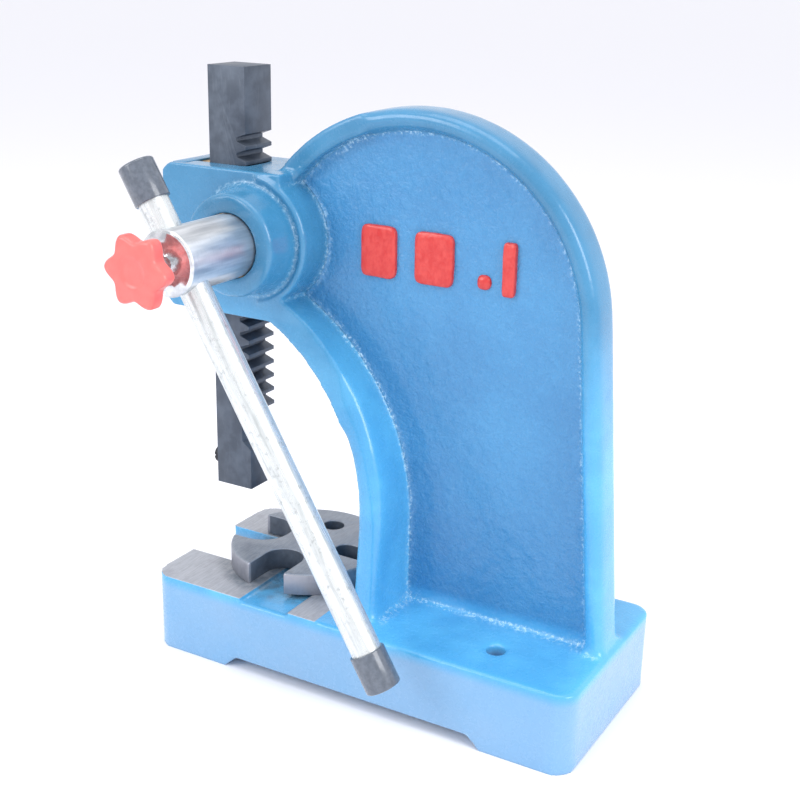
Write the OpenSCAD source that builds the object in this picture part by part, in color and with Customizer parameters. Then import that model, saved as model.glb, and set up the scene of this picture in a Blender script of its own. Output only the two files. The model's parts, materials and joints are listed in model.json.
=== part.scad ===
// Hand-lever arbor press: forked cast base, C-shaped frame, square rack ram,
// pinion shaft with sliding handle bar, star knob and turning arbor plate.
// Millimetres. +Z is up, the ram's front faces -Y, the handle is on the +X side.
// Origin: midway between the two base bolts, on the underside of the base.

/* [Base] */
// width of the base casting
base_w = 122; // [100:1:150]
// length of the base casting, front to back
base_len = 277; // [240:1:330]
// height of the base, floor to machined seats
base_h = 48.5; // [38:0.5:60]
// radius of the base's upright corners
base_corner_r = 12; // [6:1:18]
// width of the open slot in the forked front
fork_w = 42; // [34:1:52]
// distance from the ram's axis to the base's front end
base_front = 27; // [20:1:36]
// depth of the painted valley between the two machined seats
valley_depth = 2.5; // [1:0.5:4]
// height of the arch between the feet
arch_h = 7; // [4:0.5:10]
// distance from the ram's axis back to the base bolts
bolt_y = 193; // [170:1:215]
// spacing of the base bolts across the base
bolt_spacing = 67; // [56:1:80]
// diameter of the base bolt holes
bolt_d = 11; // [8:0.5:14]

/* [Frame] */
// distance from the ram's axis to the throat
throat_y = 104; // [90:1:120]
// radius of the throat arc
throat_r = 124; // [100:1:140]
// height of the throat arc's centre
throat_z = 100; // [80:1:115]
// thickness of the throat flange, front to back
flange_t = 16; // [10:1:22]
// width of the throat flange where it meets the base
flange_foot_w = 92; // [70:1:110]
// thickness of the recessed web
web_t = 10; // [6:1:16]
// width of the outer rim
rim_w = 28; // [20:1:36]
// thickness of the outer rim, measured in the web's plane
rim_t = 11; // [8:1:18]
// radius of the frame's round top
crown_r = 110; // [96:1:125]
// distance from the throat back to the centre of the round top
crown_back = 17.3; // [5:0.1:30]
// overall height of the frame
frame_h = 334; // [315:1:355]
// how far the column's rear foot stands in from the base's rear end
rear_step = 3; // [1:0.5:8]

/* [Head] */
// width of the head block
head_w = 55; // [50:1:70]
// underside of the head above the floor
head_z0 = 209.5; // [190:0.5:230]
// top of the head above the floor
head_z1 = 294; // [270:0.5:315]
// distance from the ram's axis to the front of the cover plate
head_front = 36; // [32:1:44]
// thickness of the front cover plate
cover_t = 13; // [10:1:16]
// how far the front cover plate laps past the ram on each side
cover_lap = 10.3; // [9:0.1:14]
// radius of the large boss, flush with the head's top
boss_r = 38; // [32:0.5:42]
// distance of the large boss's face from the ram's axis
boss_x = 29; // [28:0.5:36]
// radius of the small boss at its outer face
hub_r = 28.8; // [24:0.2:32]
// distance of the small boss's outer face from the ram's axis
hub_x = 48; // [40:1:60]
// distance of the far boss's face from the ram's axis
far_x = 35; // [31:1:45]
// width of the ring left round the large boss's groove
ring_w = 3.5; // [2:0.5:5]

/* [Ram] */
// side of the square ram
ram_side = 25.4; // [19:0.1:32]
// length of the ram
ram_len = 253; // [220:1:300]
// underside of the ram above the floor, as shown
ram_z = 95.5; // [80:0.5:110]
// plain length above the rack
ram_top_plain = 33; // [20:1:50]
// plain length below the rack
ram_foot_plain = 26; // [20:1:50]
// diameter of the tool bore in the ram's lower end
tool_bore_d = 10; // [6:0.5:12]
// depth of the tool bore
tool_bore_l = 24; // [16:1:30]
// how far the tool screw's head stands out of the ram's front
screw_reach = 9; // [4:0.5:12]

/* [Drive] */
// module of rack and pinion
gear_m = 2.8; // [2.5:0.1:3]
// number of pinion teeth
gear_z = 11; // [10:1:13]
// height of the pinion shaft's axis above the floor
shaft_z = 255.5; // [235:0.5:275]
// distance of the shaft's outer end face from the ram's axis
shaft_x = 101; // [90:1:115]
// distance of the handle's plane from the ram's axis
handle_x = 88; // [75:1:100]
// diameter of the handle bar
handle_d = 17; // [13:0.5:19]
// overall length of the handle over its caps
handle_len = 307; // [250:1:360]
// length of the handle above the shaft's axis, as shown
handle_up = 55.5; // [45:0.5:90]
// lean of the handle from upright, as shown
handle_lean = 30.7; // [0:0.1:90]
// wall of the handle caps
cap_wall = 1.4; // [1:0.1:2.5]
// length of the handle caps
cap_len = 22; // [15:1:30]
// radius over the star knob's lobes
knob_r = 20.4; // [16:0.2:24]
// thickness of the star knob's head
knob_t = 10; // [7:1:16]
// gap between the shaft's end face and the knob's collar
knob_gap = 6.5; // [2:0.5:10]

/* [Arbor plate] */
// diameter of the arbor plate
plate_d = 98; // [84:1:112]
// sideways place of the plate's axis, away from the handle's side
plate_x = -5.3; // [-8:0.1:8]
// thickness of the arbor plate
plate_t = 13.5; // [10:0.5:18]
// distance from the ram's axis to the plate's axis
plate_y = 44; // [38:0.5:50]
// width of the widest slot
slot_a_w = 36; // [30:1:40]
// width of the second slot
slot_b_w = 25; // [20:1:28]
// width of the third slot
slot_c_w = 16; // [10:1:20]
// diameter of the round hole
plate_hole_d = 14; // [8:1:18]
// diameter of the pivot pin
pin_d = 10; // [8:0.5:14]

/* [Fits] */
// radial clearance of a shaft turning in its bore
run_c = 0.05; // [0.02:0.01:0.09]
// clearance on each side of the ram in its channel
slide_c = 0.05; // [0.02:0.01:0.1]
// gap left between bodies that don't fit together
air = 0.3; // [0.2:0.1:0.6]

/* [Hidden] */
ra = 180; // facets of large circles
ram_h = ram_side/2;
chan_h = ram_h + slide_c;
ram_z1 = ram_z + ram_len;
pitch = 3.14159265*gear_m;
pitch_r = gear_m*gear_z/2;
shaft_r = pitch_r + gear_m - 0.2;
shaft_y = ram_h - gear_m + pitch_r;
bush_r = shaft_r + 3;
bore_r = shaft_r + run_c;
gear_w = ram_side + 2;
col_rear = base_len - base_front;
flange_rear = throat_y + flange_t;
crown_y = throat_y + crown_back;
crown_z = frame_h - crown_r;
cap_d = handle_d + 2*cap_wall;
cap_bevel = 1.5;
cap_end = 2; // solid end of a cap
cover_w = ram_side + 2*cover_lap;
cover_y0 = -head_front;
cover_y1 = -head_front + cover_t;
gib_front = -cover_y1 - ram_h - slide_c;
seat_rear0 = plate_y + 28;
plate_z = base_h + 0.02;
cover_screw_x = (chan_h + cover_w/2)/2;
cover_screw_z = [head_z0 + 13, head_z1 - 13];
cover_bolt_r = 2.5;
cover_head_r = 4.25;
gib_screw_z = [shaft_z - 20, shaft_z + 20];
gib_screw_r = 4;
collar_l = 9; // length of the knob's collar
collar_r0 = 6.5;
collar_r1 = 9.5;
lobes = 6;
lobe_turn = -3; // turn of the first lobe from the rear
lobe_r = knob_r/3;
dimple_r = 6.6; // of the hollow between two lobes
dimple_out = 1.6; // how far its centre lies outside the lobes' circle
knob_x = shaft_x + knob_gap + collar_l;
stud_r = 4;
edge = 1.5; // bevel on cast and turned edges
groove_t = 2.2; // depth of the groove round the small boss
hub_draft = 2.8; // growth of the small boss's radius towards its root
boss_cut_y = 5.7; // where the large boss's proud half starts, behind the shaft's axis
bolt_boss_r = bolt_d/2 + 7;
arch_y0 = 26; // front end of the arch under the base
arch_y1 = col_rear - 52; // rear end of the arch
arch_slope = 8;
head_rear = throat_y - 58; // where the head block runs into the column
lip_t = 4; // lip that hides the near bush
pin_depth = 28;
plate_land = pin_d/2 + 12; // solid left round the plate's pin
mark_z = shaft_z - 1;
mark_h = 29;
mark_y = [-17.5, 16.5, 69.5]; // near edges of the three pads, behind the throat
mark_w = [22, 23.5, 7.5];
brake_y = -3;
brake_z = shaft_z + 29;

blue = [0.20, 0.55, 0.85];
steel = [0.80, 0.81, 0.82];
black = [0.20, 0.22, 0.25];
red = [0.85, 0.15, 0.15];
iron = [0.50, 0.51, 0.53];

// everything is drawn about the ram's axis, then moved to the bolts' origin
module at_ram() {
    translate([0, -bolt_y, 0]) children();
}

// profile drawn as (Y, Z), given a width along X about x = 0
module along_x(w) {
    translate([-w/2, 0, 0]) rotate([90, 0, 90]) linear_extrude(height = w) children();
}

// cylinder along X from x0 to x1
module rod_x(x0, x1, r, r2 = -1) {
    translate([x0, 0, 0]) rotate([0, 90, 0])
        cylinder(h = x1 - x0, r1 = r, r2 = r2 < 0 ? r : r2, $fn = 96);
}

// cylinder along Y from y0 to y1
module rod_y(y0, y1, r, r2 = -1, fn = 64) {
    translate([0, y0, 0]) rotate([-90, 0, 0])
        cylinder(h = y1 - y0, r1 = r, r2 = r2 < 0 ? r : r2, $fn = fn);
}

module round_rect(x0, x1, y0, y1, r) {
    translate([x0 + r, y0]) square([x1 - x0 - 2*r, y1 - y0]);
    translate([x0, y0 + r]) square([x1 - x0, y1 - y0 - 2*r]);
    for (x = [x0 + r, x1 - r]) {
        for (y = [y0 + r, y1 - r]) {
            translate([x, y]) circle(r = r, $fn = 64);
        }
    }
}

// ---- frame casting -------------------------------------------------------

module throat_shape() {
    intersection() {
        translate([throat_y - throat_r, throat_z]) circle(r = throat_r, $fn = ra);
        translate([throat_y - 2*throat_r, throat_z]) square([2*throat_r, throat_r + 1]);
    }
    translate([throat_y - 2*throat_r, 0]) square([2*throat_r, throat_z]);
}

// area behind the throat flange's rear surface
module behind_flange() {
    difference() {
        translate([0, base_h - 12]) square([col_rear + 40, 400]);
        intersection() {
            translate([throat_y - throat_r, throat_z])
                circle(r = throat_r + flange_t, $fn = ra);
            translate([throat_y - 2*throat_r, throat_z])
                square([3*throat_r, throat_r + flange_t + 1]);
        }
        translate([throat_y - 2*throat_r, -10])
            square([2*throat_r + flange_t, throat_z + 10]);
    }
}

// side view of the column: round crown with a straight rear edge tangent to it
module outline(inset = 0) {
    r = crown_r - inset;
    foot = [col_rear - rear_step - inset, base_h];
    reach = foot - [crown_y, crown_z];
    turn = atan2(reach[1], reach[0]) + acos(r/norm(reach));
    translate([crown_y, crown_z]) circle(r = r, $fn = ra);
    polygon([
        [crown_y - 60, base_h - 12],
        [foot[0], base_h - 12],
        foot,
        [crown_y + r*cos(turn), crown_z + r*sin(turn)],
        [crown_y, crown_z],
        [crown_y - 60, crown_z]
    ]);
}

module column() {
    // web
    along_x(web_t) difference() {
        outline();
        throat_shape();
    }
    // outer rim
    along_x(rim_w) difference() {
        outline();
        outline(rim_t);
        throat_shape();
    }
    // throat flange, flaring towards the base
    intersection() {
        along_x(flange_foot_w + 20) difference() {
            outline();
            throat_shape();
            behind_flange();
        }
        rotate([90, 0, 0]) translate([0, 0, -col_rear]) linear_extrude(height = col_rear + 40)
            polygon([
                [-flange_foot_w/2, base_h - 8],
                [flange_foot_w/2, base_h - 8],
                [head_w/2, head_z0 + 2],
                [head_w/2, head_z1 - 4],
                [-head_w/2, head_z1 - 4],
                [-head_w/2, head_z0 + 2]
            ]);
    }
}

module base_block() {
    difference() {
        linear_extrude(height = base_h)
            round_rect(-base_w/2, base_w/2, -base_front, col_rear, base_corner_r);
        // open slot of the fork
        translate([0, 0, -1]) linear_extrude(height = base_h + 2) {
            translate([0, 8]) circle(r = fork_w/2, $fn = 96);
            translate([-fork_w/2, -base_front - 1]) square([fork_w, base_front + 9]);
        }
        // arch between the feet
        along_x(base_w + 2) polygon([
            [arch_y0, -1], [arch_y0, 0], [arch_y0 + arch_slope, arch_h],
            [arch_y1 - arch_slope, arch_h], [arch_y1, 0], [arch_y1, -1]
        ]);
        // hollow underside
        translate([0, 0, -1]) linear_extrude(height = base_h - 14)
            round_rect(-base_w/2 + 13, base_w/2 - 13, plate_y + 16, col_rear - 14, 9);
        // painted valley between the machined seats
        translate([-base_w/2 - 1, plate_y - 6, base_h - valley_depth])
            cube([base_w + 2, seat_rear0 - plate_y + 6, valley_depth + 1]);
        // hole of the pivot pin
        translate([plate_x, plate_y, base_h - pin_depth]) cylinder(h = 40, r = pin_d/2, $fn = 64);
    }
    // raised ring about the pivot pin
    difference() {
        translate([plate_x, plate_y, base_h - valley_depth - 1])
            cylinder(h = valley_depth + 1, r = pin_d/2 + 7, $fn = 64);
        translate([plate_x, plate_y, base_h - pin_depth]) cylinder(h = 40, r = pin_d/2, $fn = 64);
    }
    // bolt bosses inside the hollow, standing on the bench
    for (s = [-1, 1]) {
        translate([s*bolt_spacing/2, bolt_y, 0]) cylinder(h = base_h - 7, r = bolt_boss_r, $fn = 64);
    }
}

// side view of the head from its front to a given y, front edges broken
module head_front_shape(rear) {
    polygon([
        [cover_y0, head_z0 + 5],
        [cover_y0 + 5, head_z0],
        [rear, head_z0],
        [rear, head_z1],
        [cover_y0 + 5, head_z1],
        [cover_y0, head_z1 - 4]
    ]);
}

module head_block() {
    difference() {
        along_x(head_w) head_front_shape(head_rear);
        // seat of the cover plate
        translate([-cover_w/2, cover_y0 - 1, head_z0 - 5]) cube([cover_w, cover_t + 1, head_z1 - head_z0 + 10]);
    }
    translate([0, shaft_y, shaft_z]) {
        // large boss, proud of the head's side on its rear half only
        intersection() {
            difference() {
                union() {
                    rod_x(0, boss_x - edge, boss_r);
                    rod_x(boss_x - edge, boss_x, boss_r, boss_r - edge);
                }
                // groove round the small boss's root
                difference() {
                    rod_x(boss_x - groove_t, boss_x + 1, boss_r - ring_w);
                    rod_x(boss_x - 2*groove_t, boss_x + 2, hub_r);
                }
            }
            translate([-1, boss_cut_y, -2*boss_r]) cube([2*boss_x, 2*boss_r, 4*boss_r]);
        }
        // small boss, drafted
        rod_x(boss_x - 2*groove_t, hub_x - edge, hub_r + hub_draft, hub_r);
        rod_x(hub_x - edge, hub_x, hub_r, hub_r - edge);
        // boss on the far side
        rod_x(-far_x + edge, 0, hub_r + 2);
        rod_x(-far_x, -far_x + edge, hub_r + 2 - edge, hub_r + 2);
    }
}

module frame_casting() {
    at_ram() color(blue) difference() {
        union() {
            base_block();
            column();
            head_block();
        }
        // ram channel, open to the front
        translate([-chan_h, cover_y1 - 1, head_z0 - 5])
            cube([2*chan_h, chan_h - cover_y1 + 1, head_z1 - head_z0 + 10]);
        // seats of the two bushes and the room for the pinion teeth
        translate([0, shaft_y, shaft_z]) {
            rod_x(-far_x - 1, hub_x - lip_t, bush_r);
            rod_x(0, hub_x + 1, shaft_r + air);
        }
        // base bolt holes
        for (s = [-1, 1]) {
            translate([s*bolt_spacing/2, bolt_y, -1]) cylinder(h = base_h + 2, r = bolt_d/2, $fn = 64);
        }
        // tapped holes of the cover screws
        for (s = [-1, 1], z = cover_screw_z) {
            translate([s*cover_screw_x, 0, z]) rod_y(cover_y1 - 1, cover_y1 + 14, cover_bolt_r);
        }
        // tapped hole of the ram brake
        translate([0, brake_y, brake_z]) rod_x(-head_w/2 - 5, 0, 4);
    }
}

// plain raised pads, fused to the web
module cast_marks() {
    at_ram() color(red) translate([web_t/2, throat_y, mark_z]) rotate([90, 0, 90])
        linear_extrude(height = 2.5) {
            for (i = [0:2]) {
                round_rect(mark_y[i], mark_y[i] + mark_w[i], -mark_h/2, mark_h/2, 2.5);
            }
            translate([mark_y[2] - 11, -mark_h/2 + 6]) circle(r = 4, $fn = 64);
        }
}

module bush(x0, x1) {
    difference() {
        rod_x(x0, x1, bush_r);
        rod_x(x0 - 1, x1 + 1, bore_r);
    }
}

module bush_near() {
    at_ram() color([0.75, 0.60, 0.30]) translate([0, shaft_y, shaft_z])
        bush(gear_w/2 + 1, hub_x - lip_t);
}

module bush_far() {
    at_ram() color([0.75, 0.60, 0.30]) translate([0, shaft_y, shaft_z])
        bush(-far_x + 0.5, -gear_w/2 - 1);
}

// ---- guide of the ram ----------------------------------------------------

module front_cover() {
    at_ram() color(blue) difference() {
        along_x(cover_w) head_front_shape(cover_y1);
        for (s = [-1, 1], z = cover_screw_z) {
            translate([s*cover_screw_x, 0, z]) {
                rod_y(cover_y0 - 1, cover_y1 + 1, cover_bolt_r + air);
                rod_y(cover_y0 - 1, cover_y0 + 5.4, cover_head_r + air);
            }
        }
        for (z = gib_screw_z) {
            translate([0, 0, z]) rod_y(cover_y0 - 1, cover_y1 + 1, gib_screw_r);
        }
    }
}

module socket_head(y0, h, r, key) {
    difference() {
        rod_y(y0, y0 + h, r);
        rod_y(y0 - 1, y0 + h*0.6, key, fn = 6);
    }
}

module cover_screws() {
    at_ram() color(black) for (s = [-1, 1], z = cover_screw_z) {
        translate([s*cover_screw_x, 0, z]) {
            socket_head(cover_y0 + 0.4, 5, cover_head_r, 2.2);
            rod_y(cover_y0 + 5.3, cover_y1 + 12, cover_bolt_r);
        }
    }
}

module gib_strip() {
    at_ram() color([0.72, 0.60, 0.35]) translate([-ram_h, cover_y1 + 0.1, head_z0 + 1])
        cube([ram_side, gib_front - 0.1, head_z1 - head_z0 - 2]);
}

module gib_screws() {
    at_ram() color(black) for (z = gib_screw_z) {
        translate([0, 0, z]) difference() {
            rod_y(cover_y0 - 12, cover_y1 + 0.1, gib_screw_r);
            rod_y(cover_y0 - 13, cover_y0 - 8, 2.3, fn = 6);
        }
    }
}

module hex_nut_y(y0, h, r, bore) {
    difference() {
        rod_y(y0, y0 + h, r, fn = 6);
        rod_y(y0 - 1, y0 + h + 1, bore);
    }
}

module gib_lock_nuts() {
    at_ram() color(black) for (z = gib_screw_z) {
        translate([0, 0, z]) hex_nut_y(cover_y0 - 5.5, 5.5, 7.5, gib_screw_r);
    }
}

module brake_screw() {
    at_ram() color(black) translate([0, brake_y, brake_z]) difference() {
        rod_x(-head_w/2 - 12, -ram_h - 4.5, 4);
        translate([-head_w/2 - 13, 0, 0]) rotate([0, 90, 0]) cylinder(h = 5, r = 2.3, $fn = 6);
    }
}

module brake_lock_nut() {
    at_ram() color(black) translate([-head_w/2 - 5.5, brake_y, brake_z]) rotate([0, 90, 0]) difference() {
        cylinder(h = 5.5, r = 7.5, $fn = 6);
        translate([0, 0, -1]) cylinder(h = 8, r = 4, $fn = 64);
    }
}

module brake_plug() {
    at_ram() color([0.92, 0.92, 0.88]) translate([0, brake_y, brake_z])
        rod_x(-ram_h - 4.5, -ram_h - 0.02, 3.9);
}

// ---- ram -----------------------------------------------------------------

// gap between two rack teeth, drawn as (Y, Z) about its middle
module rack_gap() {
    root = ram_h - 2.25*gear_m;
    tip = ram_h + 1;
    w_root = pitch/4 - 1.25*gear_m*tan(20) + 0.12;
    w_tip = pitch/4 + (gear_m + 1)*tan(20) + 0.12;
    polygon([[root, -w_root], [tip, -w_tip], [tip, w_tip], [root, w_root]]);
}

module ram() {
    gap0 = shaft_z - floor((shaft_z - ram_z - ram_foot_plain - 12)/pitch)*pitch;
    n = floor((ram_z1 - ram_top_plain - gap0)/pitch);
    at_ram() color(black) difference() {
        translate([-ram_h, -ram_h, ram_z]) cube([ram_side, ram_side, ram_len]);
        along_x(ram_side + 2) {
            for (i = [0:n]) {
                translate([0, gap0 + i*pitch]) rack_gap();
            }
            // run-out of the cutter below the last tooth
            polygon([
                [ram_h - 2.25*gear_m, gap0 + 1],
                [ram_h - 2.25*gear_m, gap0 - 15],
                [ram_h + 1, gap0 - 21],
                [ram_h + 1, gap0 + 1]
            ]);
        }
        // tool bore and its cross hole
        translate([0, 0, ram_z - 1]) cylinder(h = tool_bore_l + 1, r = tool_bore_d/2, $fn = 64);
        translate([0, 0, ram_z + 13]) rod_y(-ram_h - 1, 0, 3);
    }
}

module ram_tool_screw() {
    at_ram() color(black) translate([0, 0, ram_z + 13]) {
        difference() {
            union() {
                rod_y(-ram_h - screw_reach + 1, -ram_h - air, 5.5);
                rod_y(-ram_h - screw_reach, -ram_h - screw_reach + 1, 4.5, 5.5);
            }
            translate([-6, -ram_h - screw_reach - 1, -0.7]) cube([12, 2.5, 1.4]);
        }
        rod_y(-ram_h - 1, -tool_bore_d/2 - 0.3, 2.95);
    }
}

// ---- pinion shaft --------------------------------------------------------

// gap between two pinion teeth, drawn across the shaft with its middle along +X
module pinion_gap() {
    steps = [[-1.3, 0.8], [-0.6, 0.8], [0, 0.93], [0.5, 1.28], [1.3, 1.9]];
    n = len(steps) - 1;
    polygon([
        for (i = [0:n]) [pitch_r + steps[i][0]*gear_m, -steps[i][1]*gear_m],
        for (i = [n:-1:0]) [pitch_r + steps[i][0]*gear_m, steps[i][1]*gear_m]
    ]);
}

module handle_frame() {
    translate([handle_x, shaft_y, shaft_z]) rotate([handle_lean, 0, 0]) children();
}

module pinion_shaft() {
    at_ram() color(steel) difference() {
        translate([0, shaft_y, shaft_z]) difference() {
            union() {
                rod_x(-far_x - 1, shaft_x - 1.5, shaft_r);
                rod_x(shaft_x - 1.5, shaft_x, shaft_r, shaft_r - 1.5);
            }
            // teeth: one tooth points at the rack's gap at rest
            translate([-gear_w/2, 0, 0]) rotate([90, 0, 90]) linear_extrude(height = gear_w)
                for (i = [0:gear_z - 1]) {
                    rotate([0, 0, 180 + (i + 0.5)*360/gear_z]) pinion_gap();
                }
            // centre hole for the stud, and the far end's tapped hole
            rod_x(handle_x, shaft_x + 1, stud_r + run_c);
            rod_x(-far_x - 2, -far_x + 16, 4);
        }
        handle_frame() translate([0, 0, -shaft_r - 1])
            cylinder(h = 2*shaft_r + 2, r = handle_d/2 + 2*run_c, $fn = 96);
    }
}

module retaining_washer() {
    at_ram() color(steel) translate([0, shaft_y, shaft_z]) difference() {
        rod_x(-far_x - 4, -far_x - 1, shaft_r + 5);
        rod_x(-far_x - 5, -far_x, 4 + air);
    }
}

module spring_washer() {
    at_ram() color(steel) translate([0, shaft_y, shaft_z]) difference() {
        rod_x(-far_x - 6, -far_x - 4, 7);
        rod_x(-far_x - 7, -far_x - 3, 4 + air);
        translate([-far_x - 7, -0.6, 3]) cube([4, 1.2, 6]);
    }
}

module retaining_screw() {
    at_ram() color(black) translate([0, shaft_y, shaft_z]) {
        translate([-far_x - 11.3, 0, 0]) rotate([0, 90, 0]) cylinder(h = 5.3, r = 7.5, $fn = 6);
        rod_x(-far_x - 6.5, -far_x + 14, 4);
    }
}

// ---- knob ----------------------------------------------------------------

module star_knob() {
    at_ram() color(red) translate([0, shaft_y, shaft_z]) {
        difference() {
            union() {
                // lobed head
                translate([knob_x, 0, 0]) rotate([90, 0, 90]) linear_extrude(height = knob_t)
                    difference() {
                        union() {
                            circle(r = knob_r - 4.5, $fn = 96);
                            for (i = [0:lobes - 1]) {
                                rotate([0, 0, 360/lobes*i + lobe_turn]) translate([knob_r - lobe_r, 0])
                                    circle(r = lobe_r, $fn = 48);
                            }
                        }
                        for (i = [0:lobes - 1]) {
                            rotate([0, 0, 360/lobes*(i + 0.5) + lobe_turn])
                                translate([knob_r + dimple_out, 0]) circle(r = dimple_r, $fn = 48);
                        }
                    }
                // collar
                rod_x(knob_x - collar_l, knob_x + 1, collar_r0, collar_r1);
            }
            rod_x(knob_x - collar_l - 1, knob_x + knob_t - 4, stud_r);
        }
    }
}

module knob_stud() {
    at_ram() color(steel) translate([0, shaft_y, shaft_z])
        rod_x(handle_x + handle_d/2 + 0.02, knob_x + knob_t - 4, stud_r);
}

// ---- handle --------------------------------------------------------------

module handle_bar() {
    at_ram() color(steel) handle_frame()
        translate([0, 0, handle_up - handle_len + cap_end])
            cylinder(h = handle_len - 2*cap_end, r = handle_d/2, $fn = 96);
}

module handle_cap(z0, dir) {
    handle_frame() translate([0, 0, z0]) rotate([dir > 0 ? 0 : 180, 0, 0]) difference() {
        union() {
            cylinder(h = cap_len - cap_bevel, r = cap_d/2, $fn = 96);
            translate([0, 0, cap_len - cap_bevel])
                cylinder(h = cap_bevel, r1 = cap_d/2, r2 = cap_d/2 - cap_bevel, $fn = 96);
        }
        translate([0, 0, -1]) cylinder(h = cap_len - cap_end + 1, r = handle_d/2, $fn = 96);
    }
}

module handle_cap_upper() {
    at_ram() color(black) handle_cap(handle_up - cap_len, 1);
}

module handle_cap_lower() {
    at_ram() color(black) handle_cap(handle_up - handle_len + cap_len, -1);
}

// ---- arbor plate ---------------------------------------------------------

module slot(w, reach) {
    translate([0, -reach]) circle(r = w/2, $fn = 96);
    translate([-w/2, -plate_d]) square([w, plate_d - reach]);
}

module arbor_plate() {
    at_ram() color(iron) translate([plate_x, plate_y, plate_z]) difference() {
        union() {
            cylinder(h = plate_t - 1, r = plate_d/2, $fn = ra);
            translate([0, 0, plate_t - 1]) cylinder(h = 1, r1 = plate_d/2, r2 = plate_d/2 - 1, $fn = ra);
        }
        translate([0, 0, -1]) linear_extrude(height = plate_t + 2) {
            slot(slot_a_w, plate_land + slot_a_w/2);
            rotate([0, 0, 90]) slot(slot_b_w, plate_land + slot_b_w/2);
            rotate([0, 0, 180]) slot(slot_c_w, plate_land + 2 + slot_c_w/2);
            translate([-plate_land - 3 - plate_hole_d/2, 0]) circle(r = plate_hole_d/2, $fn = 64);
        }
        translate([0, 0, -1]) cylinder(h = plate_t + 2, r = pin_d/2 + run_c, $fn = 64);
    }
}

module plate_pivot_pin() {
    at_ram() color(steel) translate([plate_x, plate_y, base_h - pin_depth]) {
        cylinder(h = pin_depth + plate_t - 1.5, r = pin_d/2, $fn = 64);
        translate([0, 0, pin_depth + plate_t - 1.5])
            cylinder(h = 1, r1 = pin_d/2, r2 = pin_d/2 - 1, $fn = 64);
    }
}

frame_casting();
cast_marks();
bush_near();
bush_far();
front_cover();
cover_screws();
gib_strip();
gib_screws();
gib_lock_nuts();
brake_screw();
brake_lock_nut();
brake_plug();
ram();
ram_tool_screw();
pinion_shaft();
retaining_washer();
spring_washer();
retaining_screw();
star_knob();
knob_stud();
handle_bar();
handle_cap_upper();
handle_cap_lower();
arbor_plate();
plate_pivot_pin();
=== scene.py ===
import json

import bmesh
import bpy
import numpy as np
from mathutils import Matrix, Vector


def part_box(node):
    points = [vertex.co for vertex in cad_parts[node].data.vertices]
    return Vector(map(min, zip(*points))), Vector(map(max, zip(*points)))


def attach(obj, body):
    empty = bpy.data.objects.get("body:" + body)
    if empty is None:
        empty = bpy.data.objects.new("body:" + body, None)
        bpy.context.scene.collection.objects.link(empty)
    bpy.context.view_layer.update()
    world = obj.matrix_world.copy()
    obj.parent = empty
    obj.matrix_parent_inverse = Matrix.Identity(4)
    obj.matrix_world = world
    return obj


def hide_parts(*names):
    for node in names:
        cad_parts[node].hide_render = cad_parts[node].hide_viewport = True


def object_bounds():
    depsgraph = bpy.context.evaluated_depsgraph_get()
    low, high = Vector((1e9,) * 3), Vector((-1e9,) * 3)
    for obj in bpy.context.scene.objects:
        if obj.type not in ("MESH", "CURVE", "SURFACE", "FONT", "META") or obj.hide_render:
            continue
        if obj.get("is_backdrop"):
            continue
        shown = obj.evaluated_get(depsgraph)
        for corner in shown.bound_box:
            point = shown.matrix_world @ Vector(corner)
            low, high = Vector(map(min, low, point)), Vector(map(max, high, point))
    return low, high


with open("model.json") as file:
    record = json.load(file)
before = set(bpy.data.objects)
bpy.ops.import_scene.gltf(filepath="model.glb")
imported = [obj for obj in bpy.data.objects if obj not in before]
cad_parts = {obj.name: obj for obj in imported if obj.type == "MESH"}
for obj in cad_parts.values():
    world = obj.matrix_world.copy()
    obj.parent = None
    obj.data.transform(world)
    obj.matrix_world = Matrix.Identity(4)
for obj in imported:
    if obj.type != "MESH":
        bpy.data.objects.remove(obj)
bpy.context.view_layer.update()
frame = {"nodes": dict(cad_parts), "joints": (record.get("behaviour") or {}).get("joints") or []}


# ---------------------------------------------------------------------------
# Frame casting. One grey-iron sand casting: forked base, C-shaped column with
# a thin web inside a rim, and the head with its bosses. It is fettled, dipped
# in thick blue gloss enamel, and its seats for the arbor plate are milled bare.
# ---------------------------------------------------------------------------

MM = 0.001
VOXEL = 1.1 * MM
BOLT_TO_RAM = 193 * MM      # the ram's axis is this far in front of the origin
SKIN_FACES = 186000         # triangles left in the casting's shell
PULL = 0.6                  # how far one round of softening draws a point

# The milled seats: their height, and their ends measured back from the ram's axis.
SEAT_TOP = 48.5 * MM
FRONT_SEAT_END = 38.2 * MM
REAR_SEAT = 71.9 * MM, 91.1 * MM

# Each pair is where one part of the casting fades into the next, as a height or as a
# distance behind the ram's axis. WEB_HALF is measured from the middle plane.
BASE_TOP = 47 * MM, 52 * MM
COLUMN_FRONT = 88 * MM, 96 * MM
HEAD_FOOT = 200 * MM, 212 * MM
HEAD_BACK = 66 * MM, 74 * MM
WEB_HALF = 6 * MM, 9 * MM
WEB_FOOT = 55 * MM, 70 * MM
WEB_FRONT = 100 * MM, 120 * MM


def linear(code):
    """Linear colour of an sRGB hex code: a channel c becomes ((c + 0.055) / 1.055)
    to the power 2.4, or c / 12.92 where it is dark."""
    c = np.array([int(code[i:i + 2], 16) for i in (1, 3, 5)]) / 255
    low = c <= 0.04045
    return (*np.where(low, c / 12.92, ((c + 0.055) / 1.055) ** 2.4), 1.0)


def give(socket, value):
    """Sets a socket to a number or a colour, or links another node's output to it."""
    if isinstance(value, bpy.types.NodeSocket):
        socket.id_data.links.new(value, socket)
    else:
        socket.default_value = value


def feed(node, **values):
    """Gives each input so named its value."""
    for name, value in values.items():
        give(node.inputs[name.replace("_", " ")], value)


# What a node of these kinds is set to wherever it is used here.
USUAL = {"MapRange": {"interpolation_type": "SMOOTHSTEP"}, "Mix": {"data_type": "RGBA"}}


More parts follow.
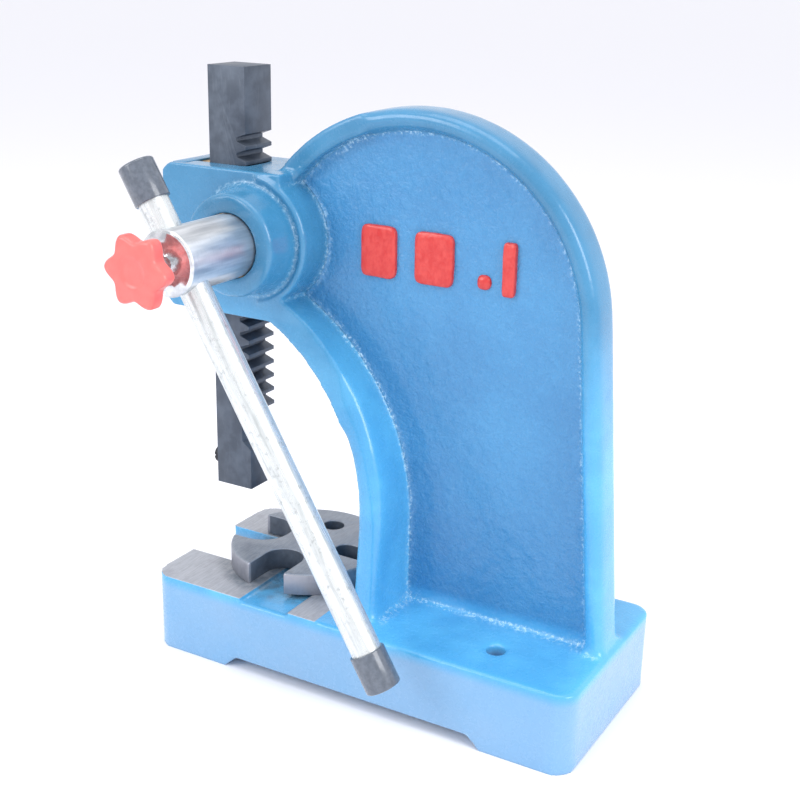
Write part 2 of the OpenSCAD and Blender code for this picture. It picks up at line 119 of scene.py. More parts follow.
def add(tree, kind, *inputs, **settings):
    """Adds a node and returns its first output in use. A setting goes to the node's own
    property of that name or else to the socket so named, and the inputs feed the sockets
    in use, in their order."""
    node = tree.nodes.new("ShaderNode" + kind)
    settings = {**USUAL.get(kind, {}), **settings}
    for name in [name for name in settings if hasattr(node, name)]:
        setattr(node, name, settings.pop(name))
    for socket, value in zip([s for s in node.inputs if s.enabled], inputs):
        give(socket, value)
    feed(node, **settings)
    return next((output for output in node.outputs if output.enabled), None)


def material(name):
    """A new node material: its tree, its principled shader and its object coordinates."""
    made = bpy.data.materials.new(name)
    made.use_nodes = True
    tree = made.node_tree
    tree.nodes.clear()
    shader = add(tree, "BsdfPrincipled").node
    add(tree, "OutputMaterial", shader.outputs[0])
    place = add(tree, "TexCoord").node.outputs["Object"]
    return made, tree, shader, place


def joint(name):
    """The CAD's joint of that name."""
    return next(row for row in frame["joints"] if row["name"] == name)


def coat(mesh, finish):
    """Makes the finish the mesh's only material."""
    mesh.materials.clear()
    mesh.materials.append(finish)


def object_from(name, mesh, body, stands_for, finish):
    """Puts a finished mesh on its body, with its material, and hides the CAD nodes it stands
    for.
    """
    made = bpy.data.objects.new(name, mesh)
    bpy.context.scene.collection.objects.link(made)
    mesh.polygons.foreach_set("use_smooth", np.ones(len(mesh.polygons), bool))
    coat(mesh, finish)
    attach(made, body)
    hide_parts(*stands_for)


def opened(node, gap):
    """A CAD node's mesh open for editing, with its loose triangles joined at corners that
    lie within the gap."""
    work = bmesh.new()
    work.from_mesh(frame["nodes"][node].data)
    bmesh.ops.remove_doubles(work, verts=work.verts, dist=gap)
    return work


def closed(work, name):
    """A new mesh of what was open for editing."""
    mesh = bpy.data.meshes.new(name)
    work.to_mesh(mesh)
    work.free()
    return mesh


def modified(mesh, kind, **settings):
    """The mesh as one modifier leaves it."""
    work = bpy.data.objects.new("work", mesh)
    bpy.context.scene.collection.objects.link(work)
    modifier = work.modifiers.new(kind, kind)
    for name, value in settings.items():
        setattr(modifier, name, value)
    state = bpy.context.evaluated_depsgraph_get()
    done = bpy.data.meshes.new_from_object(work.evaluated_get(state))
    bpy.data.objects.remove(work)
    return done


def read(items, field, width, kind=float):
    """One field of a mesh's vertices, edges or normals as an array, with a row for each."""
    out = np.empty(len(items) * width, kind)
    items.foreach_get(field, out)
    return out.reshape(-1, width)


def put(mesh, points):
    """Moves the mesh's vertices to the points."""
    mesh.vertices.foreach_set("co", points.ravel())
    mesh.update()


def lumps(points, size, seed):
    """Smooth value noise in -1..1: random numbers on a lattice of the given spacing,
    blended between the eight corners round each point with 3t^2 - 2t^3 weights."""
    grid = np.random.default_rng(seed).uniform(-1, 1, (64, 64, 64))
    p = points / size
    cell = np.floor(p).astype(int)
    t = p - cell
    t = t * t * (3 - 2 * t)
    total = np.zeros(len(points))
    for corner in range(8):
        step = np.array([corner & 1, corner >> 1 & 1, corner >> 2 & 1])
        weight = np.prod(np.where(step, t, 1 - t), axis=1)
        i, j, k = ((cell + step) % 64).T
        total += weight * grid[i, j, k]
    return total


def softened(points, edges, amount, rounds):
    """Each round moves every point by its amount towards the mean of its neighbours,
    which rounds the edges and fills the corners as paint and foundry fillets do."""
    keep = amount > 0
    edges = edges[keep[edges[:, 0]] | keep[edges[:, 1]]]
    a, b = edges.T
    n = len(points)
    degree = np.maximum(np.bincount(a, minlength=n) + np.bincount(b, minlength=n), 1)
    out = points.copy()
    for _ in range(rounds):
        for axis in range(3):
            mean = (np.bincount(a, out[b, axis], n) + np.bincount(b, out[a, axis], n)) / degree
            out[keep, axis] += (amount * (mean - out[:, axis]))[keep]
    return out


def ramp(value, low, high):
    """0 below low, 1 above high, and 3t^2 - 2t^3 between them."""
    t = np.clip((value - low) / (high - low), 0, 1)
    return t * t * (3 - 2 * t)


def hollowness(points, edges, normals, rounds, low, high):
    """How far a point's surroundings, averaged over so many rounds, stand out beyond it:
    0 at or under low, as on flats and outer edges, and 1 from high up, as in corners."""
    wide = softened(points, edges, np.ones(len(points)), rounds)
    return ramp(np.einsum("ij,ij->i", wide - points, normals), low, high)


# The CAD's solid becomes an even shell of small faces, whose edges are softened: a little
# everywhere, and more on the column, where the outer edges get the most. The seats and
# the foot stay put, with a few tenths of a millimetre round them.
mesh = modified(closed(opened("frame_casting", 1e-6), "frame_shell"), "REMESH",
                mode="VOXEL", voxel_size=VOXEL)
points = read(mesh.vertices, "co", 3)
edges = read(mesh.edges, "vertices", 2, int)
x, y, z = points.T
y = y + BOLT_TO_RAM
on_seat = (y < FRONT_SEAT_END + 0.1 * MM) | ((y > REAR_SEAT[0] - 0.2 * MM)
                                             & (y < REAR_SEAT[1] + 0.4 * MM))
fixed = (on_seat & (np.abs(z - SEAT_TOP) < 0.6 * MM)) | (z < 2 * MM)
column = ramp(z, *BASE_TOP) * ramp(y, *COLUMN_FRONT)
head = ramp(z, *HEAD_FOOT) * (1 - ramp(y, *HEAD_BACK))
pull = PULL * (1 - head) * column
points = softened(points, edges, np.where(fixed, 0, PULL), 3)
points = softened(points, edges, np.where(fixed, 0, pull), 6)
for _ in range(8):
    put(mesh, points)
    normals = read(mesh.vertex_normals, "vector", 3)
    inner = hollowness(points, edges, normals, 1, 0.01 * MM, 0.06 * MM)
    points = softened(points, edges, np.where(fixed, 0, pull * (1 - 0.75 * inner)), 8)

# The web's faces swell and sink by a fifth of a millimetre, as sand leaves them, and the
# rest of the casting wanders a little less.
x, y, z = points.T
y = y + BOLT_TO_RAM
web = (1 - ramp(np.abs(x), *WEB_HALF)) * ramp(z, *WEB_FOOT) * ramp(y, *WEB_FRONT)
swell = 0.20 * MM * lumps(points, 9 * MM, 3) + 0.14 * MM * lumps(points, 4 * MM, 5)
points[:, 0] += np.sign(x) * web * swell
points[:, 1] += 0.08 * MM * lumps(points, 14 * MM, 8) * ~fixed * ramp(z, 10 * MM, 30 * MM)
put(mesh, points)
mesh = modified(mesh, "DECIMATE", ratio=min(1.0, SKIN_FACES / (2 * len(mesh.polygons))))

# Two marks for the paint to follow: the casting's inner corners, and the two faces of the
# web, which look along x.
points = read(mesh.vertices, "co", 3)
normals = read(mesh.vertex_normals, "vector", 3)
edges = read(mesh.edges, "vertices", 2, int)
crease = hollowness(points, edges, normals, 10, 0.15 * MM, 0.6 * MM)
web = ramp(np.abs(normals[:, 0]), 0.6, 0.85) * (np.abs(points[:, 0]) < 10 * MM)
for name, values in (("crease", crease), ("web", web)):
    mesh.attributes.new(name, "FLOAT", "POINT").data.foreach_set("value", values)

# Thick gloss enamel, dipped: a wet-looking coat with soft edges. On the sand-cast web it is
# a darker blue as painted shade, its lumps and grain show through it, and painted highlights
# lighten the lumps. The base's sides are paler with painted light, the frame darker high up
# with painted shade, and the web's corners carry small pale specks of painted glint.
SKY_LOW, SKY_HIGH = "#4a9fd3", "#58afdf"
SHADE_LOW, SHADE_HIGH = "#35779f", "#4083ac"      # painted shade: greyer and darker, high on the frame
WEB_SHADE_LOW, WEB_SHADE_HIGH = "#3b7fb2", "#458dbf"        # painted shade on the web
# painted light: the base's sides are paler
SIDE_PAINTED_LIGHT = "#7da6cb"
# painted glints in the casting's corners
PAINTED_GLINT_BLUE = "#bfe3f6"
PAINT_CLOUD = 45 * MM       # how far apart the coat runs thick and thin
WEB_DRIFT = 70 * MM
SAND_LUMP = 5 * MM          # what the sand mould's grains leave under the paint
SAND_GRAIN = 1.6 * MM
ORANGE_PEEL = 3.5 * MM
GLINT_SPOT_SIZE = 1.9 * MM
WEB_PAINT = 52 * MM, 60 * MM            # the heights at which the web's look begins,
SIDE_LIGHT_HEIGHTS = 40 * MM, 47 * MM           # the sides' painted light ends
TOP_SHADE_HEIGHTS = 130 * MM, 270 * MM         # and the open surfaces darken with painted shade
HEAD_GLINT_FADE = -128 * MM, -112 * MM      # the painted glints are fainter in front of this, round the hub

# Milled iron: pale grey with fine lines across it, stained, and darker grey in patches round the
# plate.
MILLED_LOW, MILLED_HIGH, MILLED_STAIN = "#a2a5ac", "#b6b9c0", "#85838e"
PLATE_SURROUND_GREY = "#55636f"
PLATE_SURROUND_REACH = 50 * MM, 60 * MM          # how far from the plate's pin it fades
MILL_LINE, MILL_FINE = 9 * MM, 14       # a line's length, and how many times finer it is
STAIN = 16 * MM
SEAT_UNDER, SEAT_OVER = 0.25 * MM, 0.4 * MM     # bare this far below and above the seat
pin = Vector(joint("plate_turn")["pos_m"])


def enamel_over_iron(name, milled):
    """The enamel's material. Where milled, the seats of the arbor plate are bare iron."""
    made, tree, shader, place = material(name)
    split = add(tree, "SeparateXYZ", place).node.outputs
    on_web = add(tree, "Math", add(tree, "Attribute", attribute_name="web").node.outputs["Fac"],
                 add(tree, "MapRange", split["Z"], *WEB_PAINT), operation="MULTIPLY")
    cloud = add(tree, "TexNoise", place, Scale=1 / PAINT_CLOUD, Detail=3, Roughness=0.6)
    lump = add(tree, "TexNoise", place, Scale=1 / SAND_LUMP, Detail=4, Roughness=0.68,
               Distortion=0.3)
    grain = add(tree, "TexNoise", place, Scale=1 / SAND_GRAIN, Detail=3, Roughness=0.6)
    peel = add(tree, "TexNoise", place, Scale=1 / ORANGE_PEEL, Detail=1.5)

    # The open surfaces: sky blue, paler on the base's sides with painted light, and greyer
    # towards the top with painted shade.
    thick = add(tree, "MapRange", cloud, 0.35, 0.65)
    sky = add(tree, "Mix", thick, linear(SKY_LOW), linear(SKY_HIGH))
    # painted light on the base's sides: paler there, low down
    side = add(tree, "Math", add(tree, "MapRange", split["Z"], *SIDE_LIGHT_HEIGHTS, 1, 0),
               add(tree, "MapRange", cloud, 0.2, 0.8, 0.75, 1.0), operation="MULTIPLY")
    sky = add(tree, "Mix", side, sky, linear(SIDE_PAINTED_LIGHT))
    # painted shade: greyer and darker blue towards the top of the frame
    shade = add(tree, "Mix", thick, linear(SHADE_LOW), linear(SHADE_HIGH))
    sky = add(tree, "Mix", add(tree, "MapRange", split["Z"], *TOP_SHADE_HEIGHTS), sky, shade)

    # The web: a darker blue as painted shade, drifting at random, and lightened on the sand's
    # lumps by painted highlights.
    drift = add(tree, "TexNoise", place, Scale=1 / WEB_DRIFT, Detail=2)
    lump_light_and_drift = add(tree, "Math", add(tree, "MapRange", lump, 0.3, 0.72, 0, 0.35),
              add(tree, "MapRange", drift, 0.35, 0.65, 0, 0.65), operation="ADD")
    # painted shade: the web a darker blue, lighter on the lumps with painted highlights
    web_shade = add(tree, "Mix", lump_light_and_drift, linear(WEB_SHADE_LOW), linear(WEB_SHADE_HIGH))
    paint = add(tree, "Mix", on_web, sky, web_shade)

    # The painted glints in its corners: small pale specks.
    glint_spots = add(tree, "TexNoise", place, Scale=1 / GLINT_SPOT_SIZE, Detail=4, Roughness=0.75,
                Distortion=0.6)
    glint = add(tree, "Math",
                add(tree, "Attribute", attribute_name="crease").node.outputs["Fac"],
                add(tree, "MapRange", glint_spots, 0.5, 0.62), operation="MULTIPLY")
    strength = add(tree, "MapRange", split["Y"], *HEAD_GLINT_FADE, 0.4, 0.8)
    paint = add(tree, "Mix", add(tree, "Math", glint, strength, operation="MULTIPLY"), paint,
                linear(PAINTED_GLINT_BLUE))
    gloss = add(tree, "MapRange", lump, 0.3, 0.75, 0.2, 0.34)

    if milled:
        on_top = add(tree, "Math", split["Z"], SEAT_TOP - SEAT_UNDER, operation="GREATER_THAN")
        under = add(tree, "Math", split["Z"], SEAT_TOP + SEAT_OVER, operation="LESS_THAN")
        front = add(tree, "Math", split["Y"], FRONT_SEAT_END - BOLT_TO_RAM,
                    operation="LESS_THAN")
        rear = add(tree, "Math", split["Y"], sum(REAR_SEAT) / 2 - BOLT_TO_RAM,
                   (REAR_SEAT[1] - REAR_SEAT[0]) / 2, operation="COMPARE")
        seat = add(tree, "Math", add(tree, "Math", on_top, under, operation="MULTIPLY"),
                   add(tree, "Math", front, rear, operation="MAXIMUM"), operation="MULTIPLY")
        mill = add(tree, "Mapping", place, Scale=(1, MILL_FINE, 1))
        scratch = add(tree, "TexNoise", mill, Scale=1 / MILL_LINE, Detail=3, Roughness=0.6)
        stain = add(tree, "TexNoise", place, Scale=1 / STAIN, Detail=4, Roughness=0.65)
        bare = add(tree, "Mix", add(tree, "MapRange", scratch, 0.3, 0.7), linear(MILLED_LOW),
                   linear(MILLED_HIGH))
        bare = add(tree, "Mix", add(tree, "MapRange", stain, 0.5, 0.8, 0, 0.6), bare,
                   linear(MILLED_STAIN))
        paint = add(tree, "Mix", seat, paint, bare)
        away = add(tree, "VectorMath", place, (pin.x, pin.y, SEAT_TOP), operation="DISTANCE")
        # darker grey in patches round the plate, fading out 50 to 60 mm from its pin
        plate_surround = add(tree, "Math", add(tree, "MapRange", away, *PLATE_SURROUND_REACH, 0.75, 0),
                    add(tree, "MapRange", stain, 0.35, 0.6, 0.3, 1.0), operation="MULTIPLY")
        paint = add(tree, "Mix", plate_surround, paint, linear(PLATE_SURROUND_GREY))
        gloss = add(tree, "Math", add(tree, "Math", seat, 0.28, operation="MULTIPLY"), gloss,
                    operation="ADD")
        feed(shader, Metallic=add(tree, "Math", seat, 0.4, operation="MULTIPLY"))

    # The sand shows strongly on the web and is all but filled by the paint elsewhere.
    bare_sand = add(tree, "MapRange", on_web, 0, 1, 0.06, 0.98, interpolation_type="LINEAR")
    lumpy = add(tree, "Bump", Height=add(tree, "Math", lump, bare_sand, operation="MULTIPLY"),
                Strength=0.9, Distance=1.2 * MM)
    grainy = add(tree, "Bump", Height=add(tree, "Math", grain, bare_sand, operation="MULTIPLY"),
                 Strength=0.6, Distance=0.35 * MM, Normal=lumpy)
    feed(shader, Base_Color=paint, Roughness=gloss, Coat_Weight=0.3, Coat_Roughness=0.1,
         Normal=add(tree, "Bump", Height=peel, Strength=0.25, Distance=0.12 * MM,
                    Normal=grainy))
    return made


enamel = enamel_over_iron("blue_gloss_enamel", True)
object_from("frame_skin", mesh, "frame", ["frame_casting"], enamel)


# ---------------------------------------------------------------------------
# Cast marks. Plain raised pads standing on the web where such presses carry
# cast lettering, brushed over by hand with thick red enamel.
# ---------------------------------------------------------------------------

PAD_STAND = 2.9 * MM        # the paint's thickness included
FIRST_PAD = 22 * MM
SECOND_PAD = 34 * MM, 57.5 * MM         # from the first pad's start
LAST_PAD = 7.5 * MM
DOT_BACK, DOT_UP, DOT_R = 18.5 * MM, 6 * MM, 4 * MM
SQUARE, ROUND = 7, 2.6      # how nearly a block's outline is a rectangle or an ellipse


def ring_faces(rows, cols):
    """Faces of a closed surface: rows of cols points each, then two poles, the first
    before the first row and the second after the last."""
    i, j = np.meshgrid(np.arange(rows - 1), np.arange(cols), indexing="ij")
    k = (j + 1) % cols
    sides = np.stack([i * cols + j, i * cols + k, (i + 1) * cols + k, (i + 1) * cols + j], -1)
    j = np.arange(cols)
    k = (j + 1) % cols
    low = np.stack([np.full(cols, rows * cols), k, j], -1)
    top = (rows - 1) * cols
    high = np.stack([np.full(cols, rows * cols + 1), top + j, top + k], -1)
    return [*sides.reshape(-1, 4).tolist(), *low.tolist(), *high.tolist()]


def rounded_block(centre, half, power):
    """A superellipsoid: each coordinate is its half size times the cosine or sine of the
    two angles, with its sign kept and its size raised to 2 / power. Closed at both poles."""
    up = np.linspace(-np.pi / 2, np.pi / 2, 40)[1:-1]
    turn = np.linspace(0, 2 * np.pi, 72, endpoint=False)
    curve = lambda v: np.sign(v) * np.abs(v) ** (2 / power)
    u, t = np.meshgrid(up, turn, indexing="ij")
    grid = np.stack([curve(np.sin(u)), curve(np.cos(u)) * curve(np.cos(t)),
                     curve(np.cos(u)) * curve(np.sin(t))], -1).reshape(-1, 3)
    points = np.vstack([grid, [[-1, 0, 0], [1, 0, 0]]]) * half + centre
    return points, ring_faces(len(up), len(turn))


def mesh_of(name, *parts):
    """One mesh of several (points, faces) parts, with its faces turned outwards."""
    made = bpy.data.meshes.new(name)
    points, faces, base = [], [], 0
    for p, f in parts:
        points.append(p)
        faces.extend([tuple(v + base for v in face) for face in f])
        base += len(p)
    made.from_pydata(np.vstack(points).tolist(), [], faces)
    work = bmesh.new()
    work.from_mesh(made)
    bmesh.ops.recalc_face_normals(work, faces=work.faces)
    work.to_mesh(made)
    work.free()
    return made


low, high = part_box("cast_marks")
foot = low.x
ends = ((low.y, low.y + FIRST_PAD), (low.y + SECOND_PAD[0], low.y + SECOND_PAD[1]),
        (high.y - LAST_PAD, high.y))
mid_z, half_z = (low.z + high.z) / 2, (high.z - low.z) / 2
pads = [rounded_block((foot, (a + b) / 2, mid_z), (PAD_STAND, (b - a) / 2, half_z), SQUARE)
        for a, b in ends]
pads.append(rounded_block((foot, high.y - DOT_BACK, low.z + DOT_UP),
                          (PAD_STAND * 0.9, DOT_R, DOT_R), ROUND))
mesh = mesh_of("raised_pads", *pads)
points = read(mesh.vertices, "co", 3)
points[:, 1] += 0.25 * MM * lumps(points, 5 * MM, 11)
points[:, 2] += 0.25 * MM * lumps(points, 5 * MM, 12)
points[:, 0] = np.minimum(points[:, 0] + 0.2 * MM * lumps(points, 4 * MM, 13), high.x + 0.4 * MM)
put(mesh, points)

# Gloss enamel brushed on by hand: a bright red that runs slightly thick and thin.
RED_LOW, RED_HIGH = "#c1302f", "#cd4440"
red_paint, tree, shader, place = material("red_brushed_enamel")
streak = add(tree, "TexNoise", add(tree, "Mapping", place, Scale=(1, 1.6, 1)),
             Scale=1 / (5 * MM), Detail=3, Roughness=0.6)
runs = add(tree, "TexNoise", place, Scale=1 / (2.2 * MM), Detail=2)
feed(shader, Roughness=0.25,
     Base_Color=add(tree, "Mix", add(tree, "MapRange", streak, 0.3, 0.7), linear(RED_LOW),
                    linear(RED_HIGH)),
     Normal=add(tree, "Bump", Height=runs, Strength=0.6, Distance=0.5 * MM))
object_from("raised_pads", mesh, "frame", ["cast_marks"], red_paint)


# ---------------------------------------------------------------------------
# Bushes and gib. Two plain turned bronze bushes pressed into the head, which
# carry the pinion shaft, and the bronze strip that the gib screws press on the
# ram.
# ---------------------------------------------------------------------------

# Turned bronze: a warm metal with fine lines round it. They are drawn coarser than a
# tool's feed leaves them, or they would not show.
BRONZE_LOW, BRONZE_HIGH = "#b08a4c", "#cfa765"
BRONZE_LINE, BRONZE_FINE = 5 * MM, 12   # how far a line runs, and how many times finer it is
bronze, tree, shader, place = material("turned_bronze")
rings = add(tree, "Mapping", place, Scale=(BRONZE_FINE, 1, 1))
turning = add(tree, "TexNoise", rings, Scale=1 / BRONZE_LINE, Detail=3, Roughness=0.6)
feed(shader, Metallic=1.0, Roughness=0.32,
     Base_Color=add(tree, "Mix", add(tree, "MapRange", turning, 0.3, 0.7), linear(BRONZE_LOW),
                    linear(BRONZE_HIGH)),
     Normal=add(tree, "Bump", Height=turning, Strength=0.3, Distance=0.05 * MM))
for node in ("bush_near", "bush_far", "gib_strip"):
    coat(frame["nodes"][node].data, bronze)


# ---------------------------------------------------------------------------
# Front cover and its hardware. An iron plate let into the head's front, held by
# four socket screws, with two gib screws and lock nuts, and the ram brake: a
# screw and nut on the far side with a nylon plug. Screws are blackened steel.
# ---------------------------------------------------------------------------

COVER_EDGE = 0.7 * MM
SCREW_EDGE = 0.35 * MM
THREAD = 1.0 * MM


def eased(node, width):
    """A joined copy of a CAD node with its flat faces made whole and its sharp edges
    taken off by a rounded bevel of the given width."""
    work = opened(node, 2e-6)
    bmesh.ops.dissolve_limit(work, angle_limit=np.radians(1), verts=work.verts,
                             edges=work.edges)
    sharp = [e for e in work.edges if len(e.link_faces) == 2
             and e.calc_face_angle(0) > np.radians(28)]
    bmesh.ops.bevel(work, geom=sharp, offset=width, segments=2, profile=0.5, affect="EDGES",
                    clamp_overlap=True, harden_normals=False)
    bmesh.ops.remove_doubles(work, verts=work.verts, dist=1e-7)
    return closed(work, node + "_eased")


def eased_piece(name, node, body, width, finish):
    """A bevelled piece that stands for one CAD node. Faces that meet at under 35 degrees
    shade smoothly and the rest keep their edge."""
    mesh = eased(node, width)
    object_from(name, mesh, body, [node], finish)
    mesh.set_sharp_from_angle(angle=np.radians(35))


eased_piece("cover_plate", "front_cover", "frame", COVER_EDGE,
            enamel_over_iron("blue_enamel_on_cover", False))

# Chemically blackened steel: nearly black, half matt, greyer where tools have rubbed it.
BLACK_LOW, BLACK_RUBBED = "#2b2d31", "#53565c"
blackened, tree, shader, place = material("blackened_screw_steel")
wear = add(tree, "TexNoise", place, Scale=1 / (2.5 * MM), Detail=4, Roughness=0.7)
fine = add(tree, "TexNoise", place, Scale=1 / (0.8 * MM), Detail=2)
feed(shader, Metallic=0.7, Roughness=add(tree, "MapRange", wear, 0.3, 0.8, 0.32, 0.5),
     Base_Color=add(tree, "Mix", add(tree, "MapRange", wear, 0.45, 0.8), linear(BLACK_LOW),
                    linear(BLACK_RUBBED)),
     Normal=add(tree, "Bump", Height=fine, Strength=0.2, Distance=0.05 * MM))
for name, node, body in (("cover_socket_screws", "cover_screws", "frame"),
                         ("gib_lock_nuts_black", "gib_lock_nuts", "frame"),
                         ("brake_lock_nut_black", "brake_lock_nut", "frame"),
                         ("retaining_bolt", "retaining_screw", "pinion"),
                         ("tool_clamp_screw", "ram_tool_screw", "tool_screw")):
    eased_piece(name, node, body, SCREW_EDGE, blackened)

# The same steel, threaded: dark rings a millimetre apart that each catch a thin light.
THREAD_GREY = "#34363b"
for name, along, piece, node in (
        ("blackened_thread", "Y", "gib_set_screws", "gib_screws"),
        ("blackened_thread_across", "X", "brake_set_screw", "brake_screw")):
    threaded, tree, shader, place = material(name)
    turns = add(tree, "Math", add(tree, "SeparateXYZ", place).node.outputs[along],
                2 * np.pi / THREAD, operation="MULTIPLY")
    ridge = add(tree, "Math", turns, operation="SINE")
    feed(shader, Base_Color=linear(THREAD_GREY), Metallic=0.7, Roughness=0.42,
         Normal=add(tree, "Bump", Height=ridge, Strength=0.6, Distance=0.35 * MM))
    eased_piece(piece, node, "frame", SCREW_EDGE, threaded)

# Cut nylon rod: a milky, waxy white.
NYLON_LOW, NYLON_HIGH = "#dcdad0", "#ece9df"
nylon, tree, shader, place = material("nylon_plug")
feed(shader, Roughness=0.5,
     Base_Color=add(tree, "Mix", add(tree, "TexNoise", place, Scale=1 / (3 * MM)),
                    linear(NYLON_LOW), linear(NYLON_HIGH)))
coat(frame["nodes"]["brake_plug"].data, nylon)


# ---------------------------------------------------------------------------
# Ram. A square steel bar with its rack cut in the rear face, ground, then
# blackened, with a cross screw near its foot that clamps a tool in its bore.
# ---------------------------------------------------------------------------

# Black oxide on ground steel: a slate grey, cloudy, with paler lines along the bar, drawn
# out to eight times their width.
OXIDE_LOW, OXIDE_HIGH, OXIDE_LINE = "#454d59", "#59626f", "#6e757f"
RAM_EDGE = 0.3 * MM
black_oxide, tree, shader, place = material("black_oxide_steel")
grind = add(tree, "TexNoise", add(tree, "Mapping", place, Scale=(1, 1, 0.12)),
            Scale=1 / (1.5 * MM), Detail=3, Roughness=0.6)
cloud = add(tree, "TexNoise", place, Scale=1 / (14 * MM), Detail=3, Roughness=0.6)
oxide = add(tree, "Mix", add(tree, "MapRange", cloud, 0.35, 0.7), linear(OXIDE_LOW),
            linear(OXIDE_HIGH))
feed(shader, Metallic=0.45, Roughness=add(tree, "MapRange", cloud, 0.3, 0.7, 0.38, 0.5),
     Base_Color=add(tree, "Mix", add(tree, "MapRange", grind, 0.55, 0.85, 0, 0.5), oxide,
                    linear(OXIDE_LINE)),
     Normal=add(tree, "Bump", Height=grind, Strength=0.25, Distance=0.05 * MM))
eased_piece("rack_ram", "ram", "ram", RAM_EDGE, black_oxide)


# ---------------------------------------------------------------------------
# Pinion shaft. One bright turned steel bar with the pinion's teeth cut in it, a
# cross hole for the handle and a polished bevel on its outer end, held at the
# far end by a washer, a spring washer and a hexagon screw.
# ---------------------------------------------------------------------------

# Turned steel, wiped with oil: bright satin with faint rings round it, long light and grey
# streaks along it that are oil smears and painted reflections, and a mirror-like band at the
# outer end.
STEEL_LOW, STEEL_HIGH, STEEL_RING = "#bcc0c4", "#eceef0", "#9aa0aa"
STEEL_LINE, STEEL_FINE = 4 * MM, 9      # how far a ring's line runs, and how much finer it is
SMEAR_AND_REFLECTION, SMEAR_AND_REFLECTION_LONG = 8 * MM, 0.12        # how wide a streak of smear and painted reflection is, and its width over its length
POLISH = 1.2 * MM, 0.6 * MM             # the polish fades in this far from the outer end
SHAFT_EDGE = 0.3 * MM
shaft_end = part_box("pinion_shaft")[1].x
bright, tree, shader, place = material("bright_turned_steel")
rings = add(tree, "Mapping", place, Scale=(STEEL_FINE, 1, 1))
turning = add(tree, "TexNoise", rings, Scale=1 / STEEL_LINE, Detail=3, Roughness=0.6)
along = add(tree, "Mapping", place, Scale=(SMEAR_AND_REFLECTION_LONG, 1, 1))
smear_and_reflection = add(tree, "TexNoise", along, Scale=1 / SMEAR_AND_REFLECTION, Detail=3, Roughness=0.6)
# painted reflection: light and grey bands along the shaft, together with its oil smears
steel = add(tree, "Mix", add(tree, "MapRange", smear_and_reflection, 0.35, 0.7), linear(STEEL_LOW),
            linear(STEEL_HIGH))
polish = add(tree, "MapRange", add(tree, "SeparateXYZ", place).node.outputs["X"],
             shaft_end - POLISH[0], shaft_end - POLISH[1], 0, -0.28)
feed(shader, Metallic=0.9,
     Base_Color=add(tree, "Mix", add(tree, "MapRange", turning, 0.5, 0.85, 0, 0.35), steel,
                    linear(STEEL_RING)),
     Roughness=add(tree, "Math", add(tree, "MapRange", smear_and_reflection, 0.3, 0.75, 0.36, 0.5), polish,
                   operation="ADD"),
     Normal=add(tree, "Bump", Height=turning, Strength=0.3, Distance=0.06 * MM))
for name, node in (("turned_shaft", "pinion_shaft"), ("shaft_washer", "retaining_washer"),
                   ("shaft_spring_washer", "spring_washer")):
    eased_piece(name, node, "pinion", SHAFT_EDGE, bright)


# ---------------------------------------------------------------------------
# Handle. A plated round bar that slides through the shaft's cross hole, with a
# grey plastic cap pushed on each end. The plating is bright and a little
# smeared, and the caps are satin with a rounded end.
# ---------------------------------------------------------------------------

BAR_EDGE = 0.8 * MM
CAP_LEN = 22 * MM
CAP_OVER = 2 * MM           # the cap's end is this far beyond the bar's
CAP_DEEP = 3 * MM           # how far its mouth is drawn hollow round the bar
CAP_GAP = 0.02 * MM
CAP_EDGE, LIP_EDGE = 1.4 * MM, 0.5 * MM


def turned(profile, origin, axis, around=96):
    """Surface of revolution: for each (along, radius) step a ring of that radius round
    the axis, that far along it. The first and last steps lie on the axis."""
    axis = np.array(axis) / np.linalg.norm(axis)
    side = np.cross(axis, (1.0, 0.0, 0.0) if abs(axis[0]) < 0.9 else (0.0, 0.0, 1.0))
    side /= np.linalg.norm(side)
    turn = np.linspace(0, 2 * np.pi, around, endpoint=False)[:, None]
    ring = np.cos(turn) * side + np.sin(turn) * np.cross(axis, side)
    along, radius = np.array(profile, float).T
    body = slice(1, -1)
    grid = along[body, None, None] * axis + radius[body, None, None] * ring
    poles = along[[0, -1], None] * axis
    points = np.vstack([grid.reshape(-1, 3), poles]) + np.array(origin)
    return points, ring_faces(len(along) - 2, around)


def corner(x, r, size, first, last, steps=6):
    """Points of a rounded corner of the given size whose square corner is at (x, r), from
    the angle first to the angle last, in degrees, about its own centre."""
    t = np.radians(np.linspace(first, last, steps))
    sx = 1 if np.cos(np.radians((first + last) / 2)) > 0 else -1
    sr = 1 if np.sin(np.radians((first + last) / 2)) > 0 else -1
    return np.stack([x - sx * size + size * np.cos(t), r - sr * size + size * np.sin(t)], -1)


slide = joint("handle_slide")["axis"]
low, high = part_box("handle_bar")
bar_r = (high.x - low.x) / 2
middle = (low + high) / 2
half = (high.z - low.z - 2 * bar_r * abs(slide[1])) / abs(slide[2]) / 2
steps = np.linspace(-half + 3 * MM, half - 3 * MM, 40)
bar = turned(np.vstack([[-half, 0], corner(-half, bar_r, BAR_EDGE, 180, 90),
                        np.stack([steps, np.full_like(steps, bar_r)], -1),
                        corner(half, bar_r, BAR_EDGE, 90, 0), [half, 0]]), middle, slide)

